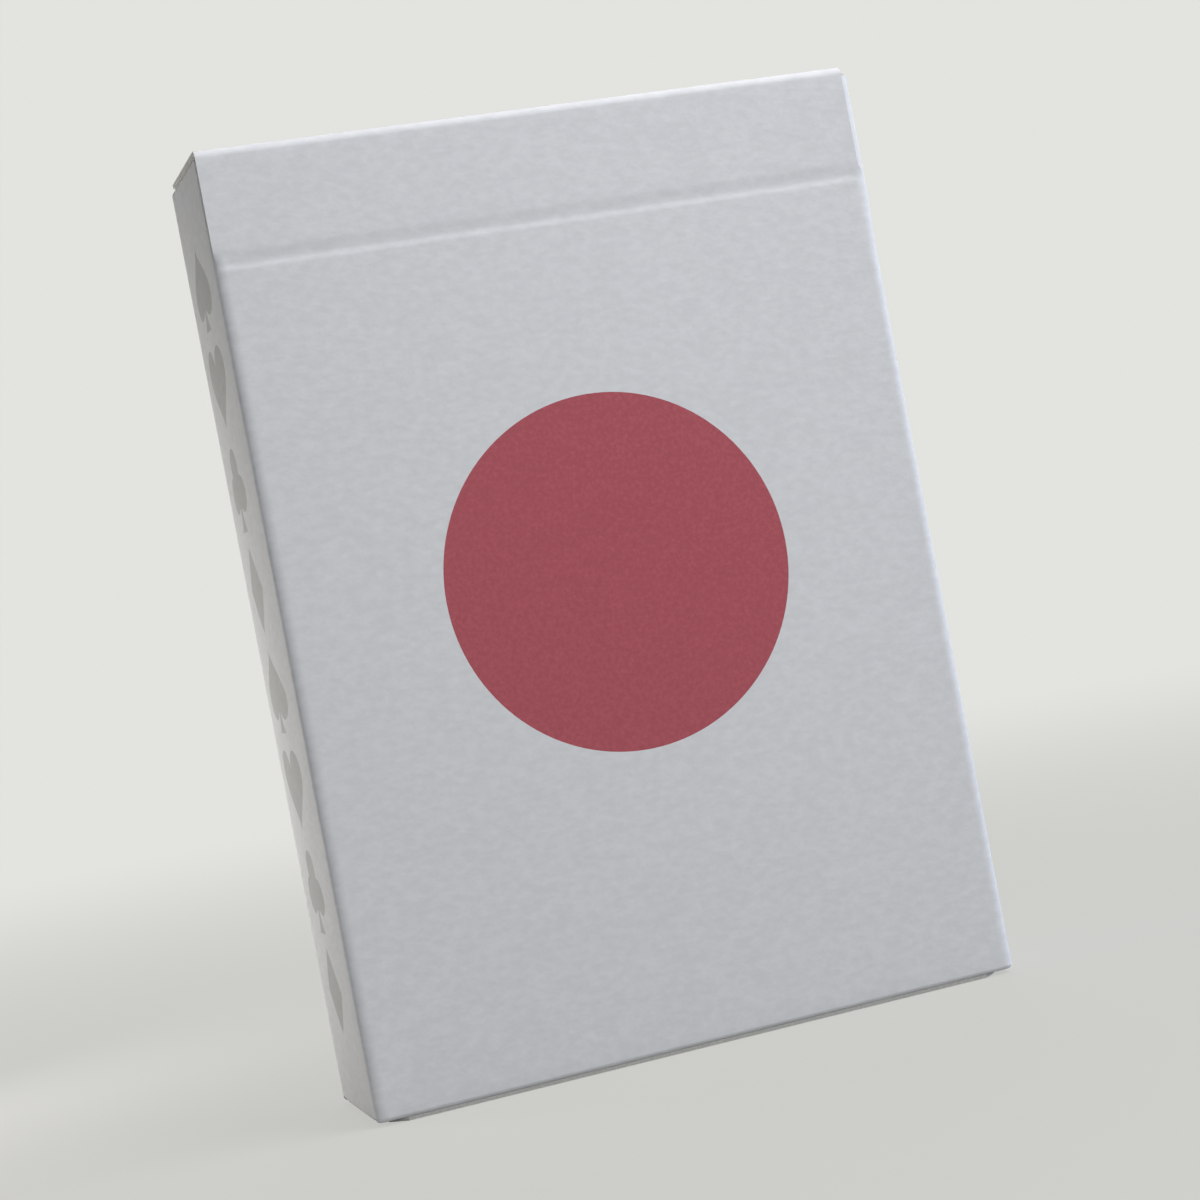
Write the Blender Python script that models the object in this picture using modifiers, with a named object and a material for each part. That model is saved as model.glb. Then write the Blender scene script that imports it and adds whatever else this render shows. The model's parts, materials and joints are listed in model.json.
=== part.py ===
# A deck of playing cards in a folded board tuck box with a creased, hinged lid.
# Metres, +Z up, origin in the middle of the base. The creased panel looks along -Y and
# the panel with the thumb notch along +Y.

import math

import bmesh
import bpy
from mathutils import Matrix, Vector

MM = 0.001

# The cards
CARD_WIDTH = 63.5 * MM
CARD_HEIGHT = 88.9 * MM
CARD_THICKNESS = 0.27 * MM
CARD_CORNER = 3.2 * MM
CARD_AIR = 0.006 * MM  # air between two cards that lie on each other
SUITS = ("spades", "diamonds", "clubs", "hearts")
RANKS = ("ace", "two", "three", "four", "five", "six", "seven", "eight", "nine", "ten",
         "jack", "queen", "king")
JOKERS = ("joker_one", "joker_two")

# The board that the box is folded from
BOARD = 0.35 * MM
TUBE_FOLD = 1.1 * MM  # outer radius of the four upright folds
BASE_FOLD = 0.7 * MM  # outer radius round the base
LID_FOLD = 0.9 * MM  # outer radius of the lid's two folds
BASE_LAYERS = 2  # the base is two flaps, glued one on the other
BASE_SEAM = 0.1 * MM  # gap over the outer base flap, whose free edge lies below the creased panel
BASE_SEAM_DEPTH = 0.8 * MM
BASE_CORNER = 1.6 * MM  # cut off the outer base flap's two free corners

# The lid and its flaps
CREASE_DROP = 10.9 * MM  # from the lid's top down to the crease
TUCK_LENGTH = 12.0 * MM  # from the lid's top down to the tip of the tuck flap
TUCK_TAPER = 1.2 * MM  # how much narrower each side of the flap is at its tip
TUCK_CORNER = 4.5 * MM
DUST_LENGTH = 14.0 * MM
DUST_TAPER = 0.35  # slope of the dust flaps' two edges, which clear the lid as all fold up
DUST_CORNER = 2.2 * MM
NOTCH_RADIUS = 9.6 * MM
NOTCH_DEPTH = 9.0 * MM

# Room round the deck and between the panels
SIDE_ROOM = 0.6 * MM  # cards to each side panel
CREASED_SIDE_ROOM = 0.15 * MM  # cards to the creased panel
TUCK_INNER_ROOM = 0.5 * MM  # cards to the tuck flap
TUCK_OUTER_ROOM = 0.9 * MM  # tuck flap to the notched panel
HEAD_ROOM = 0.9 * MM  # cards to the dust flaps
SEAT_GAP = 0.02 * MM  # cards to the base
FOLD_GAP = 0.05 * MM  # between two panels that meet at a moving fold
DUST_GAP = 0.2 * MM  # dust flaps to the lid
DUST_END_ROOM = 0.4 * MM  # dust flaps to the panels at both ends of their fold
SLIT = 0.1 * MM  # cut between the lid and the free edges of the side panels
LID_INSET = 0.1 * MM  # lid's side edges to the box's outer faces
TUCK_SIDE_ROOM = 0.8 * MM  # tuck flap to each side panel

# Facets on round stretches
FOLD_STEPS = 6
CARD_CORNER_STEPS = 4
FLAP_CORNER_STEPS = 6
NOTCH_FACETS = 64
CUT_OVER = 1.0 * MM  # how far a cutter reaches past what it cuts

# Sizes that follow
CARD_COUNT = len(SUITS) * len(RANKS) + len(JOKERS)
CARD_PITCH = CARD_THICKNESS + CARD_AIR
DECK_DEPTH = CARD_COUNT * CARD_PITCH - CARD_AIR
BASE = BASE_LAYERS * BOARD
BOX_WIDTH = CARD_WIDTH + 2 * (SIDE_ROOM + BOARD)
BOX_DEPTH = DECK_DEPTH + CREASED_SIDE_ROOM + TUCK_INNER_ROOM + TUCK_OUTER_ROOM + 3 * BOARD
DECK_FLOOR = BASE + SEAT_GAP
TUBE_TOP = DECK_FLOOR + CARD_HEIGHT + HEAD_ROOM - FOLD_GAP
DUST_FLOOR = TUBE_TOP + FOLD_GAP
BOX_HEIGHT = DUST_FLOOR + BOARD + DUST_GAP + BOARD
CREASE = BOX_HEIGHT - CREASE_DROP
CREASED_FACE = -BOX_DEPTH / 2
NOTCHED_FACE = BOX_DEPTH / 2
TUCK_FACE = NOTCHED_FACE - BOARD - TUCK_OUTER_ROOM
DECK_BACK = CREASED_FACE + BOARD + CREASED_SIDE_ROOM

# Joint axes, each a point that its axis passes through
CREASE_AXIS = Vector((0, CREASED_FACE, CREASE))
HINGE_AXIS = Vector((0, CREASED_FACE + LID_FOLD, BOX_HEIGHT))
TUCK_AXIS = Vector((0, TUCK_FACE - BOARD, BOX_HEIGHT - LID_FOLD))
DUST_AXIS = Vector((BOX_WIDTH / 2, 0, DUST_FLOOR))


def clear_scene():
    for old in list(bpy.data.objects):
        bpy.data.objects.remove(old, do_unlink=True)


def new_collection(name):
    made = bpy.data.collections.new(name)
    bpy.context.scene.collection.children.link(made)
    return made


def new_material(name, colour, roughness):
    made = bpy.data.materials.new(name)
    made.use_nodes = True
    shader = made.node_tree.nodes["Principled BSDF"]
    shader.inputs["Base Color"].default_value = (*colour, 1)
    shader.inputs["Roughness"].default_value = roughness
    shader.inputs["Metallic"].default_value = 0
    return made


def arc(centre, radius, start, end, steps):
    """Points on a circle from one angle to another, in degrees."""
    angles = [math.radians(start + (end - start) * step / steps) for step in range(steps + 1)]
    return [Vector((centre[0] + radius * math.cos(a), centre[1] + radius * math.sin(a))) for a in angles]


def rounded_outline(corners, radii, steps):
    """A closed outline whose corners are arcs; a radius of 0 leaves a corner sharp."""
    points = []
    for index, corner in enumerate(corners):
        here = Vector(corner)
        if not radii[index]:
            points.append(here)
            continue
        before = (Vector(corners[index - 1]) - here).normalized()
        after = (Vector(corners[(index + 1) % len(corners)]) - here).normalized()
        half = before.angle(after) / 2
        centre = here + (before + after).normalized() * radii[index] / math.sin(half)
        spoke = here + before * radii[index] / math.tan(half) - centre
        turn = math.copysign(math.pi - 2 * half, before.cross(after) * -1)
        points += [centre + Matrix.Rotation(turn * step / steps, 2) @ spoke for step in range(steps + 1)]
    return points


def add_object(name, mesh, origin, parent, material, collection):
    """Places a mesh that is drawn in the box's frame, with its own origin at a joint's axis."""
    mesh.transform(Matrix.Translation(-origin))
    made = bpy.data.objects.new(name, mesh)
    made.parent = parent
    made.location = origin - (parent.matrix_world.translation if parent else Vector())
    if material:
        mesh.materials.append(material)
    collection.objects.link(made)
    bpy.context.view_layer.update()
    return made


def thicken(made, offset):
    wall = made.modifiers.new("Board", "SOLIDIFY")
    wall.thickness = BOARD
    wall.offset = offset
    wall.use_even_offset = True


def outline_mesh(name, points):
    """One flat face, from points in three dimensions."""
    shape = bmesh.new()
    shape.faces.new([shape.verts.new(point) for point in points])
    mesh = bpy.data.meshes.new(name)
    shape.to_mesh(mesh)
    shape.free()
    return mesh


def strip_mesh(name, profile, width):
    """A sheet that follows a profile of y and z, drawn out across the box's width."""
    shape = bmesh.new()
    edge = [shape.verts.new((-width / 2, y, z)) for y, z in profile]
    rail = [shape.edges.new(pair) for pair in zip(edge, edge[1:])]
    drawn = bmesh.ops.extrude_edge_only(shape, edges=rail)["geom"]
    moved = [part for part in drawn if isinstance(part, bmesh.types.BMVert)]
    bmesh.ops.translate(shape, verts=moved, vec=(width, 0, 0))
    bmesh.ops.recalc_face_normals(shape, faces=shape.faces)
    first = shape.faces[:][0]
    run = profile[1] - profile[0]
    if first.normal.dot(Vector((0, -run.y, run.x))) < 0:
        bmesh.ops.reverse_faces(shape, faces=shape.faces)
    mesh = bpy.data.meshes.new(name)
    shape.to_mesh(mesh)
    shape.free()
    return mesh


def block_mesh(name, profile, width, round_upright, upright_radius, base_radius):
    """A solid with a side profile of y and z; its chosen upright edges and its base are rounded."""
    shape = bmesh.new()
    side = shape.faces.new([shape.verts.new((-width / 2, y, z)) for y, z in profile])
    drawn = bmesh.ops.extrude_face_region(shape, geom=[side])["geom"]
    moved = [part for part in drawn if isinstance(part, bmesh.types.BMVert)]
    bmesh.ops.translate(shape, verts=moved, vec=(width, 0, 0))
    bmesh.ops.recalc_face_normals(shape, faces=shape.faces)

    def is_upright(edge):
        low, high = (vert.co for vert in edge.verts)
        return abs(low.x - high.x) + abs(low.y - high.y) < FOLD_GAP and round_upright(low.y)

    def is_base(edge):
        return all(vert.co.z < lowest + FOLD_GAP for vert in edge.verts)

    lowest = min(point[1] for point in profile)
    for chosen, radius in ((is_upright, upright_radius), (is_base, base_radius)):
        edges = [edge for edge in shape.edges if chosen(edge)]
        if radius:
            bmesh.ops.bevel(shape, geom=edges, offset=radius, segments=FOLD_STEPS, profile=0.5,
                            affect="EDGES", clamp_overlap=False)
    mesh = bpy.data.meshes.new(name)
    shape.to_mesh(mesh)
    shape.free()
    return mesh


def cut(target, name, mesh):
    """Takes a shape away from a target."""
    cutter = add_object(name, mesh, Vector(), None, None, cutters)
    cutter.hide_render = True
    cutter.display_type = "WIRE"
    boolean = target.modifiers.new(name, "BOOLEAN")
    boolean.operation = "DIFFERENCE"
    boolean.solver = "EXACT"
    boolean.object = cutter


def box_profile(back, front, low, high):
    return [Vector(point) for point in ((back, low), (front, low), (front, high), (back, high))]


def make_case():
    """The glued tube with its base: open above the crease on one side, notched on the other."""
    back, front = CREASED_FACE, NOTCHED_FACE
    free_edge = back + BOARD + SLIT
    panel_top = CREASE - FOLD_GAP / 2
    outside = [Vector(p) for p in ((back, 0), (front, 0), (front, TUBE_TOP), (free_edge, TUBE_TOP),
                                   (free_edge, panel_top), (back, panel_top))]
    mesh = block_mesh("tuck_case", outside, BOX_WIDTH, lambda y: abs(y - free_edge) > SLIT / 2,
                      TUBE_FOLD, BASE_FOLD)
    case = add_object("tuck_case", mesh, Vector(), None, board, parts)

    open_back = back - CUT_OVER
    over = BOX_HEIGHT + CUT_OVER
    inside = [Vector(p) for p in ((back + BOARD, BASE), (front - BOARD, BASE), (front - BOARD, over),
                                  (open_back, over), (open_back, panel_top), (back + BOARD, panel_top))]
    cavity = block_mesh("case_inside", inside, BOX_WIDTH - 2 * BOARD, lambda y: y > open_back + CUT_OVER / 2,
                        TUBE_FOLD - BOARD, 0)
    cut(case, "case_inside", cavity)

    bpy.ops.mesh.primitive_cylinder_add(vertices=NOTCH_FACETS, radius=NOTCH_RADIUS,
                                        depth=BOARD + 2 * CUT_OVER, rotation=(math.pi / 2, 0, 0))
    notch = bpy.context.object
    mesh = notch.data
    notch_centre = TUBE_TOP - NOTCH_DEPTH + NOTCH_RADIUS
    mesh.transform(Matrix.Translation((0, front - BOARD / 2, notch_centre)) @ notch.matrix_world)
    bpy.data.objects.remove(notch)
    cut(case, "thumb_notch", mesh)

    for side, name in ((-1, "base_corner_left"), (1, "base_corner_right")):
        corner = box_profile(-BASE_CORNER, BASE_CORNER / math.sqrt(2), -CUT_OVER, BOARD + BASE_SEAM / 2)
        mesh = block_mesh(name, corner, 4 * BASE_CORNER, lambda y: False, 0, 0)
        turned = Matrix.Rotation(math.radians(45 * side), 4, "Z")
        mesh.transform(Matrix.Translation((side * BOX_WIDTH / 2, back, 0)) @ turned)
        cut(case, name, mesh)
    seam = box_profile(back - CUT_OVER, back + BASE_SEAM_DEPTH, BOARD, BOARD + BASE_SEAM)
    cut(case, "base_seam", block_mesh("base_seam", seam, BOX_WIDTH + 2 * CUT_OVER, lambda y: False, 0, 0))
    return case


def make_lid(case):
    """The strip above the crease, the top and the tuck flap, each hung on the one before it."""
    width = BOX_WIDTH - 2 * LID_INSET
    hinge_centre = (CREASED_FACE + LID_FOLD, BOX_HEIGHT - LID_FOLD)
    profile = [Vector((CREASED_FACE, CREASE + FOLD_GAP / 2))]
    profile += arc(hinge_centre, LID_FOLD, 180, 90, FOLD_STEPS)
    mesh = strip_mesh("lid_crease_panel", profile, width)
    creased = add_object("lid_crease_panel", mesh, CREASE_AXIS, case, board, parts)
    thicken(creased, -1)

    front_centre = (TUCK_FACE - LID_FOLD, BOX_HEIGHT - LID_FOLD)
    profile = [Vector((HINGE_AXIS.y + FOLD_GAP, BOX_HEIGHT))]
    profile += arc(front_centre, LID_FOLD, 90, 0, FOLD_STEPS)
    mesh = strip_mesh("lid_top_panel", profile, width)
    top = add_object("lid_top_panel", mesh, HINGE_AXIS, creased, board, parts)
    thicken(top, -1)

    root = BOX_WIDTH / 2 - BOARD - TUCK_SIDE_ROOM
    tip = root - TUCK_TAPER
    high = TUCK_AXIS.z - FOLD_GAP
    low = BOX_HEIGHT - TUCK_LENGTH
    corners = ((-root, high), (-tip, low), (tip, low), (root, high))
    outline = rounded_outline(corners, (0, TUCK_CORNER, TUCK_CORNER, 0), FLAP_CORNER_STEPS)
    middle = TUCK_FACE - BOARD / 2
    mesh = outline_mesh("tuck_flap", [(point.x, middle, point.y) for point in outline])
    flap = add_object("tuck_flap", mesh, TUCK_AXIS, top, board, parts)
    thicken(flap, 0)


def make_dust_flap(name, side, case):
    """A flap that folds in over the cards; its edges slope to clear the lid and the tuck flap."""
    root = BOX_WIDTH / 2
    tip = root - DUST_LENGTH
    near = CREASED_FACE + BOARD + DUST_END_ROOM
    far = TUCK_FACE - BOARD - DUST_END_ROOM
    slope = DUST_TAPER * DUST_LENGTH
    corners = ((side * root, near), (side * tip, near + slope),
               (side * tip, far - slope), (side * root, far))
    outline = rounded_outline(corners, (0, DUST_CORNER, DUST_CORNER, 0), FLAP_CORNER_STEPS)
    middle = DUST_FLOOR + BOARD / 2
    mesh = outline_mesh(name, [(point.x, point.y, middle) for point in outline])
    axis = Vector((side * DUST_AXIS.x, DUST_AXIS.y, DUST_AXIS.z))
    flap = add_object(name, mesh, axis, case, board, parts)
    thicken(flap, 0)


def card_names():
    """The order of a new deck: two jokers, two suits upwards and two suits downwards."""
    names = list(JOKERS)
    for place, suit in enumerate(SUITS):
        ranks = RANKS if place < len(SUITS) / 2 else RANKS[::-1]
        names += [f"{rank}_of_{suit}" for rank in ranks]
    return names


def make_deck(case):
    """All the cards, standing in the case one behind the other, on one carrier that slides up."""
    deck = bpy.data.objects.new("deck", None)
    deck.location = (0, DECK_BACK, DECK_FLOOR)
    deck.parent = case
    parts.objects.link(deck)
    bpy.context.view_layer.update()

    half = CARD_WIDTH / 2
    corners = ((-half, 0), (half, 0), (half, CARD_HEIGHT), (-half, CARD_HEIGHT))
    outline = rounded_outline(corners, (CARD_CORNER,) * 4, CARD_CORNER_STEPS)
    mesh = outline_mesh("card", [(point.x, 0, point.y) for point in outline])
    mesh.materials.append(card_stock)
    for place, name in enumerate(card_names()):
        card = bpy.data.objects.new(name, mesh)
        card.parent = deck
        card.location.y = CARD_THICKNESS / 2 + place * CARD_PITCH
        parts.objects.link(card)
        sheet = card.modifiers.new("Card", "SOLIDIFY")
        sheet.thickness = CARD_THICKNESS
        sheet.offset = 0


clear_scene()
parts = new_collection("deck_of_playing_cards")
cutters = new_collection("cutters")
board = new_material("uncoated_white_board", (0.72, 0.73, 0.75), 0.85)
card_stock = new_material("coated_card_stock", (0.82, 0.82, 0.8), 0.45)

tuck_case = make_case()
make_lid(tuck_case)
make_dust_flap("dust_flap_left", -1, tuck_case)
make_dust_flap("dust_flap_right", 1, tuck_case)
make_deck(tuck_case)
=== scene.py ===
import json

import bpy
import numpy as np
from mathutils import Matrix, Vector
from mathutils.geometry import delaunay_2d_cdt


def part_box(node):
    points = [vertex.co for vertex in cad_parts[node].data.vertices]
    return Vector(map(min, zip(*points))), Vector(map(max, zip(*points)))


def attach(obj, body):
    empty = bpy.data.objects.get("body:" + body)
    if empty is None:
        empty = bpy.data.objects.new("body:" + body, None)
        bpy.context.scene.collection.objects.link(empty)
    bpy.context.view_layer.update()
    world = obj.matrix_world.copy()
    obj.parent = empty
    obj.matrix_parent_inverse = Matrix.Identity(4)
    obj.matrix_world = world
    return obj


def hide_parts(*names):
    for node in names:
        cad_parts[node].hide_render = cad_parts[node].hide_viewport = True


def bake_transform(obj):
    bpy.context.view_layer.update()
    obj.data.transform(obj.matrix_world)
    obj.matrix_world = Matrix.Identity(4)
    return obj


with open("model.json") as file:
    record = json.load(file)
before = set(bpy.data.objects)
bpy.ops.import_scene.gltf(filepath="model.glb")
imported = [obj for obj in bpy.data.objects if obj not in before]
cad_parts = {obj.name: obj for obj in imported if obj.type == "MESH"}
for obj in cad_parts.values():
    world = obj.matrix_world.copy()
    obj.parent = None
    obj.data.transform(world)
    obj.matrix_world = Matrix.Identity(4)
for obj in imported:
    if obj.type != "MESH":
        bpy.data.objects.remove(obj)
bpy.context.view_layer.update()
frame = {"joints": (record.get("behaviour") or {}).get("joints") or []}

mm = 0.001  # shapes are worked out in millimetres and put into the meshes in metres
quarter = np.pi / 2


# sizes that the frame gives, in millimetres
def cornersOf(node):
    return [np.array(corner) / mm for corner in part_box(node)]


halfWidth, halfDepth, tubeTop = cornersOf("tuck_case")[1]
creasedY = -halfDepth
creaseZ = next(joint["pos_m"][2] for joint in frame["joints"] if joint["name"] == "lid_crease") / mm
lidHalf, lidZ = cornersOf("lid_top_panel")[1][[0, 2]]
tuckLow, tuckHigh = cornersOf("tuck_flap")
tuckY = tuckHigh[1]
dustLow, dustHigh = cornersOf("dust_flap_right")


# materials
def hexColour(text):
    # sRGB hex to the linear values that shaders take
    srgb = np.array([int(text[place:place + 2], 16) for place in (1, 3, 5)]) / 255
    linear = np.where(srgb <= 0.04045, srgb / 12.92, ((srgb + 0.055) / 1.055) ** 2.4)
    return (*linear, 1.0)


def addNode(tree, kind, inputs=None, **settings):
    # a node with its settings; an input is a value, or the output socket that feeds it
    node = tree.nodes.new(kind)
    for name, value in settings.items():
        setattr(node, name, value)
    for place, value in (inputs or {}).items():
        if isinstance(value, bpy.types.NodeSocket):
            tree.links.new(value, node.inputs[place])
        else:
            node.inputs[place].default_value = value
    return node


def startMaterial(name, sockets):
    # a material with these even values on its shader's own sockets
    material = bpy.data.materials.new(name)
    material.use_nodes = True
    shader = material.node_tree.nodes["Principled BSDF"]
    for socket, value in sockets.items():
        shader.inputs[socket].default_value = value
    return material, material.node_tree, shader


def grainNoise(tree, across, up, detail, roughness):
    # noise in grains of one size: across mm along x and y, up mm along z
    place = addNode(tree, "ShaderNodeTexCoord")
    scale = (1 / (across * mm), 1 / (across * mm), 1 / (up * mm))
    grains = addNode(tree, "ShaderNodeMapping", {"Vector": place.outputs["Object"], "Scale": scale})
    noise = addNode(tree, "ShaderNodeTexNoise", {"Vector": grains.outputs[0], "Scale": 1.0,
                                                 "Detail": detail, "Roughness": roughness})
    return noise.outputs["Fac"]


def addRelief(tree, shader, depth, height):
    # a bump, depth mm deep where height goes from 0 to 1
    bump = addNode(tree, "ShaderNodeBump", {"Strength": 1.0, "Distance": depth * mm, "Height": height})
    tree.links.new(bump.outputs["Normal"], shader.inputs["Normal"])


def twoTones(tree, shader, fac, finish):
    # colour from the finish's dark tone to its light one as fac goes through its span
    low, high = finish["span"]
    ramp = addNode(tree, "ShaderNodeMapRange", {"Value": fac, "From Min": low, "From Max": high})
    mix = addNode(tree, "ShaderNodeMix", {"Factor": ramp.outputs[0], "A": hexColour(finish["dark"]),
                                          "B": hexColour(finish["light"])}, data_type="RGBA")
    tree.links.new(mix.outputs["Result"], shader.inputs["Base Color"])


felt = {
    "grain": 1.15, "grainUp": 0.66,   # mm, longer across than up
    "fibre": 0.4, "fibreShare": 0.25,
    "relief": 0.017,                  # mm; deeper than the real mark, so that it shows at this size
    "dark": "#D6D8DB", "light": "#DFE1E4", "span": (0.45, 0.95),
}


def pressFelt(tree, shader):
    # the felt mark's relief, soft lying grains with finer fibres over them; gives back its height
    grain = grainNoise(tree, felt["grain"], felt["grainUp"], detail=2.0, roughness=0.5)
    fibre = grainNoise(tree, felt["fibre"], felt["fibre"], detail=2.0, roughness=0.6)
    both = addNode(tree, "ShaderNodeMath", {0: fibre, 1: felt["fibreShare"], 2: grain},
                   operation="MULTIPLY_ADD")
    addRelief(tree, shader, felt["relief"], both.outputs[0])
    return both.outputs[0]


def makeFeltBoard():
    # uncoated white board with a felt mark pressed in at the paper mill: matt, faintly cloudy, shallow relief
    sockets = {"Roughness": 0.88, "Specular IOR Level": 0.25}
    material, tree, shader = startMaterial("uncoated_felt_board", sockets)
    twoTones(tree, shader, pressFelt(tree, shader), felt)
    return material


discInk = {"dark": "#A8515B", "light": "#B55A64", "span": (0.4, 0.7), "speck": 0.42}   # speck in mm


def makeDiscInk():
    # flat red ink on the felt board: the relief shows through, and fibres that took less ink are paler
    sockets = {"Roughness": 0.72, "Specular IOR Level": 0.3}
    material, tree, shader = startMaterial("red_ink_on_felt_board", sockets)
    pressFelt(tree, shader)
    specks = grainNoise(tree, discInk["speck"], discInk["speck"], detail=3.0, roughness=0.7)
    twoTones(tree, shader, specks, discInk)
    return material


pipInk = {"dark": "#B6B8B8", "light": "#BEC0C0", "span": (0.45, 0.95)}


def makePipInk():
    # light grey ink on the felt board: as matt as the board, with its relief
    sockets = {"Roughness": 0.85, "Specular IOR Level": 0.25}
    material, tree, shader = startMaterial("grey_ink_on_felt_board", sockets)
    twoTones(tree, shader, pressFelt(tree, shader), pipInk)
    return material


def mottle(tree, shader, pulp):
    # the two tones of pressed pulp, in soft grains; gives back their height
    clouds = grainNoise(tree, pulp["grain"], pulp["grainUp"], detail=3.0, roughness=0.6)
    twoTones(tree, shader, clouds, pulp)
    return clouds


cutPulp = {
    "dark": "#C6C6C2", "light": "#D8D8D4", "span": (0.3, 0.7),
    "grain": 0.25, "grainUp": 0.25,   # mm
}


def makeBoardCore():
    # die-cut edge of the board: bare pressed pulp, greyer than the face and finely mottled
    material, tree, shader = startMaterial("cut_board_edge", {"Roughness": 0.95})
    mottle(tree, shader, cutPulp)
    return material


innerPulp = {
    "dark": "#D3D3CF", "light": "#DCDCD8", "span": (0.3, 0.7),
    "grain": 0.9, "grainUp": 0.6, "relief": 0.015,   # mm
}


def makeBoardInside():
    # the board's unprinted inner side: the same pulp without the felt mark, a touch warmer
    material, tree, shader = startMaterial("inner_board_side", {"Roughness": 0.92})
    addRelief(tree, shader, innerPulp["relief"], mottle(tree, shader, innerPulp))
    return material


boardMaterials = [makeFeltBoard(), makeBoardInside(), makeBoardCore(), makeDiscInk(), makePipInk()]
outerSlot, innerSlot, cutSlot, discSlot, pipSlot = range(5)
print("materials:", ", ".join(material.name for material in boardMaterials))


# lines and outlines
def spaced(low, high, step):
    # even places from low to high, about a step apart
    return np.linspace(low, high, max(int(round((high - low) / step)), 1) + 1)


def smooth(share):
    # 0 to 1 with level ends
    share = np.clip(share, 0, 1)
    return share * share * (3 - 2 * share)


def fullTurn(facets):
    return np.linspace(0, 2 * np.pi, facets, endpoint=False)


def onCircle(angle):
    # points of the unit circle
    return np.stack([np.cos(angle), np.sin(angle)], axis=1)


def rectangle(width, height):
    return np.array([(-width, -height), (width, -height), (width, height), (-width, height)]) / 2


def roundedCorner(corner, before, after, radius, facets):
    # points of an arc that rounds the corner between two straight edges, tangent to both
    corner, before, after = (np.array(place, float) for place in (corner, before, after))
    a = (before - corner) / np.linalg.norm(before - corner)
    b = (after - corner) / np.linalg.norm(after - corner)
    half = np.arccos(np.clip(a @ b, -1, 1)) / 2
    middle = corner + (a + b) / np.linalg.norm(a + b) * radius / np.sin(half)
    first = corner + a * radius / np.tan(half) - middle
    last = corner + b * radius / np.tan(half) - middle
    turn = np.arctan2(first[0] * last[1] - first[1] * last[0], first @ last)
    return middle + radius * onCircle(np.arctan2(first[1], first[0]) + np.linspace(0, turn, facets))


def bentLine(start, heading, side, runs):
    # A line of runs, each (length, radius), where radius 0 is straight. Its outer side is on the right of the
    # heading for side 1 and on the left for side -1, and arcs turn away from it. Returns a function of the
    # distance along the line, which gives points and outward normals, and where each run starts.
    rows, here, angle, gone = [], np.array(start, float), heading, 0.0
    for length, radius in runs:
        bend = side / radius if radius else 0.0
        rows.append((gone, here[0], here[1], angle, bend))
        turned = angle + bend * length
        if bend:
            here = here + np.array([np.sin(turned) - np.sin(angle), np.cos(angle) - np.cos(turned)]) / bend
        else:
            here = here + length * np.array([np.cos(angle), np.sin(angle)])
        angle, gone = turned, gone + length
    starts, px, py, angles, bends = np.array(rows).T

    def line(distance):
        run = np.clip(np.searchsorted(starts, distance, "right") - 1, 0, len(starts) - 1)
        gone, first, bend = distance - starts[run], angles[run], bends[run]
        turned = first + bend * gone
        safe = np.where(bend == 0, 1, bend)
        x = np.where(bend == 0, gone * np.cos(first), (np.sin(turned) - np.sin(first)) / safe)
        y = np.where(bend == 0, gone * np.sin(first), (np.cos(first) - np.cos(turned)) / safe)
        outward = side * np.stack([np.sin(turned), -np.cos(turned)], axis=1)
        return np.stack([px[run] + x, py[run] + y], axis=1), outward

    return line, np.append(starts, gone)


def pipLoops(suit, size, centre=(0.0, 0.0), turned=False, facets=14):
    # Outlines of a suit's pip, size mm high. A heart is two arcs that run to a point; a spade is a heart
    # upside down on a stem; a club is three discs on a stem; a diamond has four hollow sides.
    if suit in ("hearts", "spades"):
        s = np.linspace(-np.pi, np.pi, 4 * facets, endpoint=False)
        x = 16 * np.sin(s) ** 3
        y = 13 * np.cos(s) - 5 * np.cos(2 * s) - 2 * np.cos(3 * s) - np.cos(4 * s)
        loop = np.stack([x, y + 2.5], axis=1) / 30
        if suit == "spades":
            loop = loop * (1, -0.86) + (0, 0.07)
    elif suit == "diamonds":
        ring = onCircle(fullTurn(4 * facets))
        loop = np.sign(ring) * np.abs(ring) ** 1.85 * (0.37, 0.5)
    else:
        spots = np.array([(0.22, -0.06), (0.0, 0.27), (-0.22, -0.06)])
        spans = np.radians([(-130, 75), (-28, 208), (105, 310)])
        loop = np.concatenate([spot + 0.215 * onCircle(np.linspace(*span, 2 * facets))
                               for spot, span in zip(spots, spans)])
    loops = [loop]
    if suit in ("spades", "clubs"):
        flare = np.linspace(0, 1, facets)
        edge = np.stack([0.035 + 0.13 * flare ** 3, -0.1 - 0.4 * flare], axis=1)
        loops.append(np.concatenate([edge * (-1, 1), edge[::-1]]))
    turn = -1 if turned else 1
    return [loop * size * turn + np.array(centre) for loop in loops]


# flat sheets
def insideLoops(points, loops):
    # even-odd rule: a point is inside if a ray to its right crosses the loops an odd number of times
    within = np.zeros(len(points), bool)
    for loop in loops:
        a, b = loop[None], np.roll(loop, -1, axis=0)[None]
        p = points[:, None]
        spans = (a[..., 1] > p[..., 1]) != (b[..., 1] > p[..., 1])
        rise = np.where(b[..., 1] == a[..., 1], 1, b[..., 1] - a[..., 1])
        reach = a[..., 0] + (p[..., 1] - a[..., 1]) * (b[..., 0] - a[..., 0]) / rise
        within ^= (spans & (p[..., 0] < reach)).sum(axis=1) % 2 == 1
    return within


def splitAtGrid(loop, columns, rows):
    # the loop with a point added wherever it crosses a column or a row
    pieces = []
    for a, b in zip(loop, np.roll(loop, -1, axis=0)):
        shares = [np.zeros(1)]
        for axis, lines in ((0, columns), (1, rows)):
            run = b[axis] - a[axis]
            if abs(run) > 1e-9:
                share = (lines - a[axis]) / run
                shares.append(share[(share > 1e-6) & (share < 1 - 1e-6)])
        pieces.append(a + np.unique(np.concatenate(shares))[:, None] * (b - a))
    return np.concatenate(pieces)


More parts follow.
